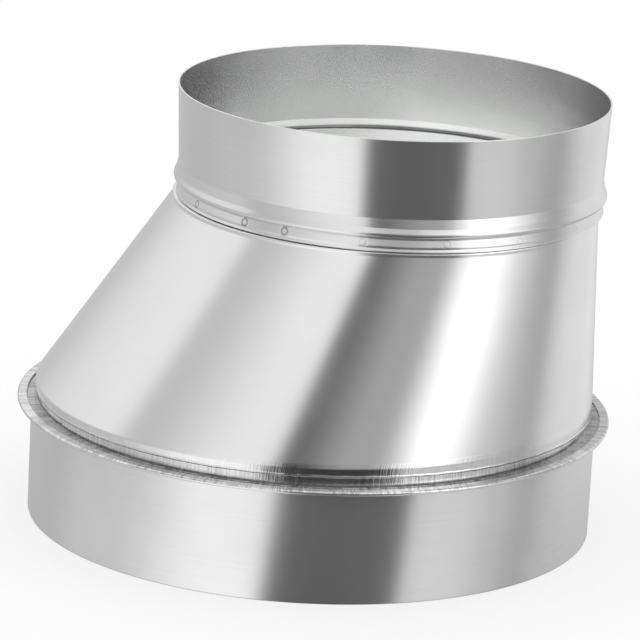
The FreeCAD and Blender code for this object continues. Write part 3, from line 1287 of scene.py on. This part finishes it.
@dataclass
class Studio:
    """A pale floor, a white surround, and the soft panels that the metal mirrors."""

    floor_size: float = 14.0
    floor_drop: float = 0.02
    matt_roughness: float = 0.9
    shadow_share: float = 0.4
    table_radius: float = 98.0
    table_drop: float = 0.01
    table_sides: int = 96
    table_level: float = 1.1
    plain_level: float = 1.0
    facing: float = -70.0
    walls_level: float = 0.6
    panels: tuple[Panel, ...] = (
        Panel("back left glow", -185, -82, 2, 12, 1.0, bottom=7, soft_edge=22),
        Panel("left key", -48, 0, 52, 2, 1.06),
        Panel("right of camera", -9, 36, 7, 10, 0.41, top=18.5, soft_edge=3),
        Panel("camera gap", -10.5, 6, 7, 26, 0.01, top=18.5, soft_edge=3),
        Panel("gap over camera", -10.5, 38, 7, 8, 0.02, bottom=13.5, top=18.5, soft_edge=2),
        Panel("glow over camera", -9, 50, 8, 10, 0.64, bottom=18.5, soft_edge=3),
        Panel("glow right of camera", 18, 50, 6, 10, 1.0, bottom=18.5, soft_edge=3),
        Panel("right key", 39, 72, 23, 40, 1.8),
        Panel("right gap", 89, 107, 18, 14, 0.42),
        Panel("back right wall", 112, 185, 26, 2, 0.9),
        Panel("back right edge", 160, 185, 20, 2, 0.66),
        Panel("low left", -185, -118, 2, 30, 0.5, top=-16, soft_edge=4),
        Panel("table left", -108, -50, 30, 2, 0.68, top=-16, soft_edge=4),
        Panel("low left key", -60, 0, 50, 2, 1.16, top=-10, soft_edge=6),
        Panel("low right", 44, 84, 8, 30, 0.36, top=-9.5, soft_edge=3),
        Panel("table right", 45, 76, 8, 26, 0.84, top=-16, soft_edge=4),
        Panel("table back right", 104, 185, 20, 2, 0.5, top=-17, soft_edge=3),
        Panel("low camera gap", -14.5, 40.5, 10, 12, 0.05, top=-5, soft_edge=3),
        Panel("table camera gap", -13.5, 40, 10, 15, 0.04, top=-16, soft_edge=4),
    )

    def build(self) -> None:
        """Makes the floor and the world."""
        self._floor()
        self._inner_table()
        self._world()

    def _floor(self) -> None:
        """A wide pale floor that the metal does not mirror, so that the panels' bands run down the walls.

        The camera sees only a part of its shadow, as on an over-lit table.
        """
        half, drop = self.floor_size / 2, -self.floor_drop * MM
        corners = [(-half, -half, drop), (half, -half, drop), (half, half, drop), (-half, half, drop)]
        material = self._matt_white("pale_floor", "Is Camera Ray", 1.0 - self.shadow_share, fading=True)
        self._slab("floor", corners, material).visible_glossy = False

    def _inner_table(self) -> None:
        """The bright table inside the large collar, which only the metal's inside mirrors."""
        radius = self.table_radius * MM
        rim = [(radius * math.cos(t), radius * math.sin(t), -self.table_drop * MM)
               for t in np.linspace(0.0, math.tau, self.table_sides, endpoint=False)]
        self._slab("inner_table", rim, self._matt_white("bright_table", "Is Glossy Ray", self.table_level))

    @staticmethod
    def _slab(name: str, rim: Sequence[Sequence[float]], material: Material) -> Piece:
        """Makes one flat face of the stage.

        Args:
            name: The object's name.
            rim: The face's corners.
            material: Its material.

        Returns:
            The object.
        """
        mesh = bpy.data.meshes.new(name)
        mesh.from_pydata(rim, [], [tuple(range(len(rim)))])
        mesh.materials.append(material)
        slab = bpy.data.objects.new(name, mesh)
        bpy.context.scene.collection.objects.link(slab)
        return slab

    def _matt_white(self, name: str, ray: str, level: float, fading: bool = False) -> Material:
        """Matt white that also glows for one kind of ray.

        Args:
            name: The material's name.
            ray: The Light Path output that it glows for.
            level: How bright the glow is.
            fading: Whether the white takes as much less light as it glows.

        Returns:
            The material.
        """
        material = bpy.data.materials.new(name)
        material.use_nodes = True
        wiring = Wiring(material.node_tree)
        glow = wiring.times(wiring.add("ShaderNodeLightPath").outputs[ray], level)
        white = wiring.scaled(WHITE[:3], wiring.minus(1.0, glow)) if fading else WHITE
        shader = material.node_tree.nodes["Principled BSDF"]
        for key, value in {"Base Color": white, "Emission Color": WHITE, "Emission Strength": glow,
                           "Roughness": self.matt_roughness, "Specular IOR Level": 0.0}.items():
            wiring.plug(shader.inputs[key], value)
        return material

    def _panel_group(self) -> Tree:
        """Lays one panel over what is behind it.

        Returns:
            The group, which gives the light with the panel in place.
        """
        group = Group("Studio panel", numbers("Behind", "Compass", "Rise", *self.panels[0].inputs()),
                      numbers("Light"))
        given = group.given
        share: Input = 1.0
        for value, edge, soft, ends in (
                ("Compass", "Start", "Soft start", (0.0, 1.0)), ("Compass", "End", "Soft end", (1.0, 0.0)),
                ("Rise", "Bottom", "Soft edge", (0.0, 1.0)), ("Rise", "Top", "Soft edge", (1.0, 0.0))):
            half = group.over(given[soft], 2.0)
            low, high = group.minus(given[edge], half), group.plus(given[edge], half)
            share = group.times(share, group.ramp(given[value], low, high, *ends))
        gain = group.minus(given["Level"], given["Behind"])
        return group.done(Light=group.math("MULTIPLY_ADD", gain, share, given["Behind"]))

    def _world(self) -> None:
        """White for the camera and a plain level for the floor; the metal mirrors the panels."""
        world = bpy.data.worlds.new("studio")
        world.use_nodes = True
        world.node_tree.nodes.clear()
        world.cycles.sampling_method = "NONE"
        bpy.context.scene.world = world
        wiring = Wiring(world.node_tree)
        x, y, z = wiring.split(wiring.add("ShaderNodeTexCoord").outputs["Generated"])
        turn = wiring.math("DEGREES", wiring.math("ARCTAN2", y, x))
        compass = wiring.math("WRAP", wiring.minus(turn, self.facing), FULL_TURN / 2, -FULL_TURN / 2)
        rise = wiring.math("DEGREES", wiring.math("ARCSINE", z))
        group = self._panel_group()
        light: Input = self.walls_level
        for panel in self.panels:
            node = wiring.group(group, {"Behind": light, "Compass": compass, "Rise": rise,
                                        **panel.inputs()})
            node.label = panel.label
            light = node.outputs[0]
        mirrored = wiring.add("ShaderNodeLightPath").outputs["Is Glossy Ray"]
        level = wiring.add("ShaderNodeMix", {0: mirrored, 2: self.plain_level, 3: light}, data_type="FLOAT")
        glow = wiring.add("ShaderNodeBackground", {"Color": WHITE, "Strength": level})
        wiring.add("ShaderNodeOutputWorld", {"Surface": glow})


@dataclass
class View:
    """The photograph's viewpoint, in degrees and millimetres."""

    azimuth: float = 20.0
    elevation: float = 15.604
    roll: float = 3.044
    distance: float = 1543.9
    aim_right: float = 0.767
    aim_up: float = 70.78
    pixels_per_mm: float = 2.842
    frame_pixels: float = 640.0
    sensor: float = 36.0
    nearest: float = 50.0
    farthest: float = 60000.0

    def build(self) -> None:
        """Makes the camera and gives it to the scene."""
        azimuth, rise, roll = (math.radians(v) for v in (self.azimuth, self.elevation, self.roll))
        level = math.cos(rise)
        back = Vector((math.sin(azimuth) * level, -math.cos(azimuth) * level, math.sin(rise)))
        right = Vector((math.cos(azimuth), math.sin(azimuth), 0.0))
        up = back.cross(right)
        aim = (right * self.aim_right + Vector((0.0, 0.0, self.aim_up))) * MM
        eye = aim + back * self.distance * MM
        rolled_right = right * math.cos(roll) + up * math.sin(roll)
        rolled_up = up * math.cos(roll) - right * math.sin(roll)
        camera = bpy.data.cameras.new("camera")
        camera.sensor_width = self.sensor
        camera.lens = self.pixels_per_mm * self.distance / self.frame_pixels * self.sensor
        camera.clip_start = self.nearest * MM
        camera.clip_end = self.farthest * MM
        holder = bpy.data.objects.new("camera", camera)
        bpy.context.scene.collection.objects.link(holder)
        turn = Matrix((rolled_right, rolled_up, back)).transposed().to_4x4()
        holder.matrix_world = Matrix.Translation(eye) @ turn
        bpy.context.scene.camera = holder


def main() -> None:
    """Builds the camera, the studio and the three sheets, and logs each sheet's face and triangle counts."""
    logging.basicConfig(level=logging.INFO, format="%(name)s: %(message)s")
    scene = bpy.context.scene
    scene.view_settings.view_transform = "Standard"
    View().build()
    Studio().build()

    sizes, effects = ReducerSizes(), Effects()
    skins, rollers, welds = SheetTree(), RollerTree(), WeldTree()
    for sheet in (LargeCollar(sizes, skins, rollers), Cone(sizes, skins, rollers),
                  SmallCollar(sizes, skins, welds)):
        sheet.build(effects)


if __name__ == "__main__":
    main()
